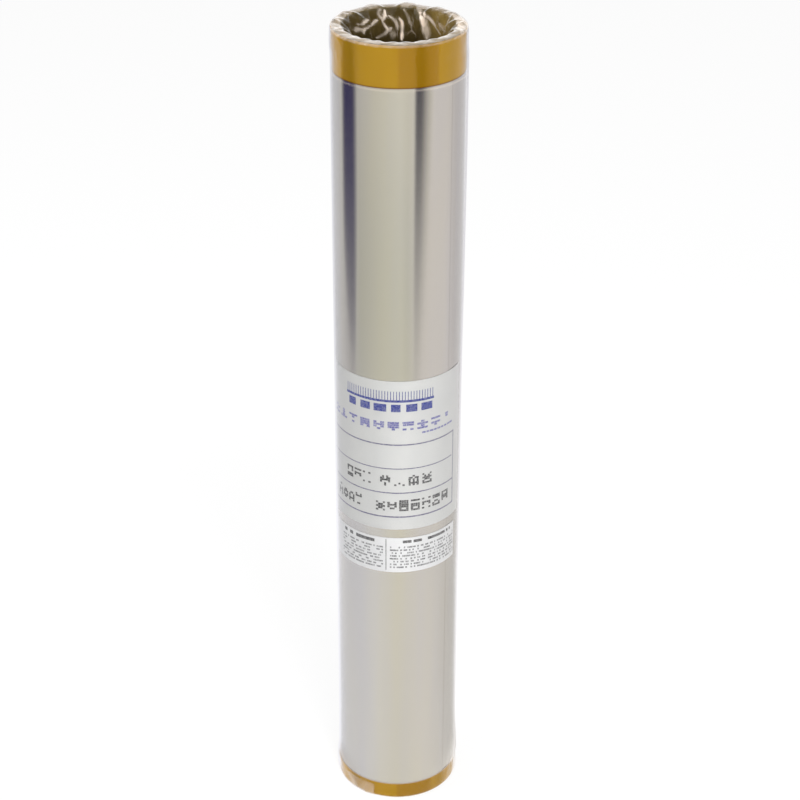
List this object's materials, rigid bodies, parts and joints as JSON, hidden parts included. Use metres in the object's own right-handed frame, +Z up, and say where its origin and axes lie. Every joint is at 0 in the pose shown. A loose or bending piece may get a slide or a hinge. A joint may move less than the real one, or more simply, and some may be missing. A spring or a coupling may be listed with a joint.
{
  "type": "roll of stainless steel shim stock",
  "caption": "Thin metal sheet wound on an open cardboard core, taped at both ends, with two paper labels and a clear film tucked into the bore.",
  "frame": {"origin": "centre of the roll's lower end, on the surface that it stands on", "axes": "+Z up along the roll's axis; the labels face -Y"},
  "size_m": [0.0466, 0.0466, 0.3012],
  "materials": {
    "kraft_core": "matte kraft paper",
    "steel_foil": "bright rolled, with fine rolling lines round the roll",
    "amber_tape": "glossy see-through amber",
    "label_paper": "smooth coated paper",
    "clear_film": "glossy clear film with fine creases"
  },
  "bodies": {
    "root": {"core_tube": "kraft_core", "foil_roll": "steel_foil", "top_tape_band": "amber_tape", "bottom_tape_band": "amber_tape", "main_label": "label_paper", "small_label": "label_paper", "wrap_film": "clear_film"}
  },
  "joints": []
}
